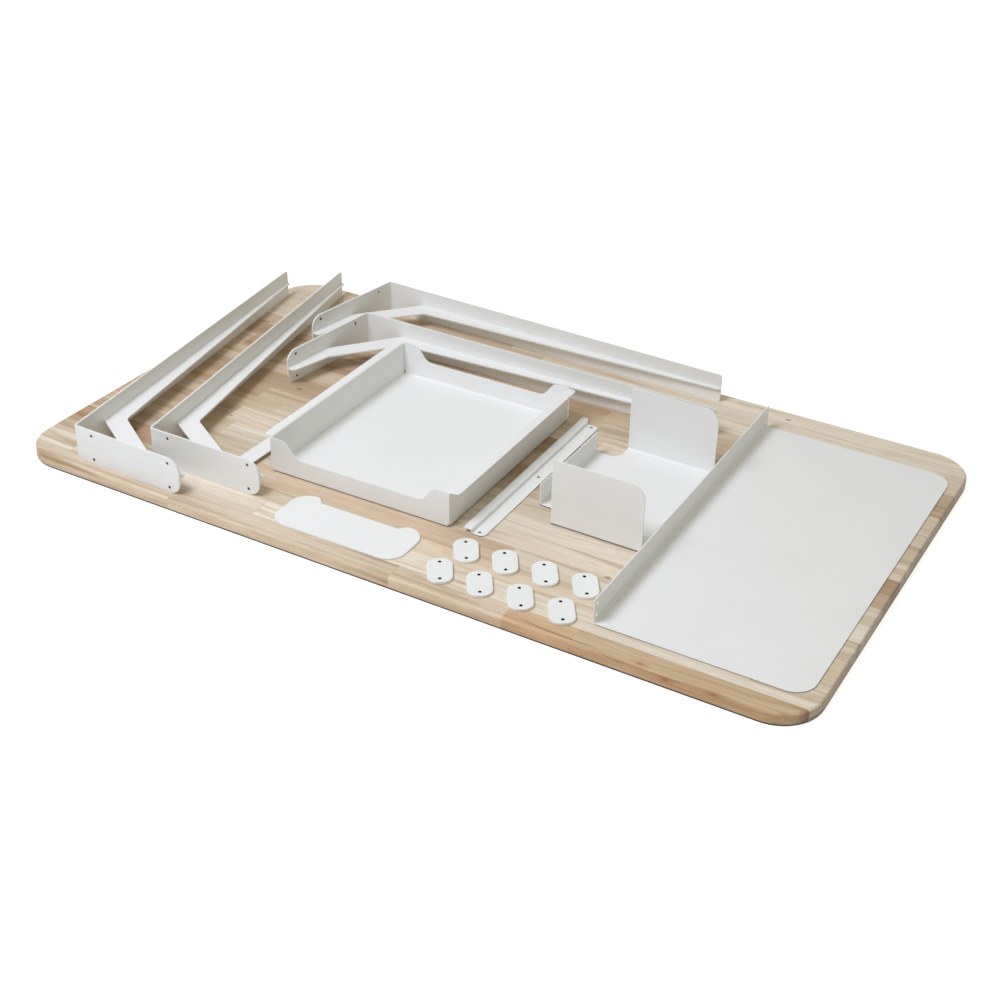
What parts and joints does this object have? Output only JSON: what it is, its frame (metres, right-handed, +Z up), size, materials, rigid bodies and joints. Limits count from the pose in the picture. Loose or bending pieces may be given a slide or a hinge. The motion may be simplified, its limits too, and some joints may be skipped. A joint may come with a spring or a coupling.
{
  "type": "flat-pack desk kit",
  "caption": "Knock-down desk laid out on its wooden tabletop: bent T-section legs, scooped drawer tray with rails, notched plate, upright holder, flanged panel and spacer pads.",
  "frame": {"origin": "middle of the tabletop's underside", "axes": "+X along the tabletop's length, +Y towards its back edge, +Z up from the floor"},
  "size_m": [1.4, 0.8, 0.1395],
  "materials": {
    "wood": "finger-jointed staves, oiled",
    "white_coat": "matte white powder coat"
  },
  "bodies": {
    "board": {"tabletop": "wood"},
    "leg_1": {"leg_strip_1": "white_coat", "leg_rib_1": "white_coat"},
    "leg_2": {"leg_strip_2": "white_coat", "leg_rib_2": "white_coat"},
    "leg_3": {"leg_strip_3": "white_coat", "leg_rib_3": "white_coat"},
    "leg_4": {"leg_strip_4": "white_coat", "leg_rib_4": "white_coat"},
    "drawer_tray": {"drawer_tray": "white_coat"},
    "drawer_rail_1": {"drawer_rail_1": "white_coat"},
    "drawer_rail_2": {"drawer_rail_2": "white_coat"},
    "cover_plate": {"cover_plate": "white_coat"},
    "holder": {"holder": "white_coat"},
    "side_panel": {"side_panel": "white_coat"},
    "spacer_pad_1": {"spacer_pad_1": "white_coat"},
    "spacer_pad_2": {"spacer_pad_2": "white_coat"},
    "spacer_pad_3": {"spacer_pad_3": "white_coat"},
    "spacer_pad_4": {"spacer_pad_4": "white_coat"},
    "spacer_pad_5": {"spacer_pad_5": "white_coat"},
    "spacer_pad_6": {"spacer_pad_6": "white_coat"},
    "spacer_pad_7": {"spacer_pad_7": "white_coat"},
    "spacer_pad_8": {"spacer_pad_8": "white_coat"}
  },
  "joints": [
    {"name": "leg_1_lift", "type": "slide", "parent": "board", "child": "leg_1", "axis": [0, 0, 1], "range_m": [0, 0.15]},
    {"name": "leg_2_lift", "type": "slide", "parent": "board", "child": "leg_2", "axis": [0, 0, 1], "range_m": [0, 0.15]},
    {"name": "leg_3_lift", "type": "slide", "parent": "board", "child": "leg_3", "axis": [0, 0, 1], "range_m": [0, 0.15]},
    {"name": "leg_4_lift", "type": "slide", "parent": "board", "child": "leg_4", "axis": [0, 0, 1], "range_m": [0, 0.15]},
    {"name": "drawer_tray_lift", "type": "slide", "parent": "board", "child": "drawer_tray", "axis": [0, 0, 1], "range_m": [0, 0.15]},
    {"name": "drawer_rail_1_lift", "type": "slide", "parent": "board", "child": "drawer_rail_1", "axis": [0, 0, 1], "range_m": [0, 0.15]},
    {"name": "drawer_rail_2_lift", "type": "slide", "parent": "board", "child": "drawer_rail_2", "axis": [0, 0, 1], "range_m": [0, 0.15]},
    {"name": "cover_plate_lift", "type": "slide", "parent": "board", "child": "cover_plate", "axis": [0, 0, 1], "range_m": [0, 0.15]},
    {"name": "holder_lift", "type": "slide", "parent": "board", "child": "holder", "axis": [0, 0, 1], "range_m": [0, 0.15]},
    {"name": "side_panel_lift", "type": "slide", "parent": "board", "child": "side_panel", "axis": [0, 0, 1], "range_m": [0, 0.15]},
    {"name": "spacer_pad_1_lift", "type": "slide", "parent": "board", "child": "spacer_pad_1", "axis": [0, 0, 1], "range_m": [0, 0.15]},
    {"name": "spacer_pad_2_lift", "type": "slide", "parent": "board", "child": "spacer_pad_2", "axis": [0, 0, 1], "range_m": [0, 0.15]},
    {"name": "spacer_pad_3_lift", "type": "slide", "parent": "board", "child": "spacer_pad_3", "axis": [0, 0, 1], "range_m": [0, 0.15]},
    {"name": "spacer_pad_4_lift", "type": "slide", "parent": "board", "child": "spacer_pad_4", "axis": [0, 0, 1], "range_m": [0, 0.15]},
    {"name": "spacer_pad_5_lift", "type": "slide", "parent": "board", "child": "spacer_pad_5", "axis": [0, 0, 1], "range_m": [0, 0.15]},
    {"name": "spacer_pad_6_lift", "type": "slide", "parent": "board", "child": "spacer_pad_6", "axis": [0, 0, 1], "range_m": [0, 0.15]},
    {"name": "spacer_pad_7_lift", "type": "slide", "parent": "board", "child": "spacer_pad_7", "axis": [0, 0, 1], "range_m": [0, 0.15]},
    {"name": "spacer_pad_8_lift", "type": "slide", "parent": "board", "child": "spacer_pad_8", "axis": [0, 0, 1], "range_m": [0, 0.15]}
  ]
}
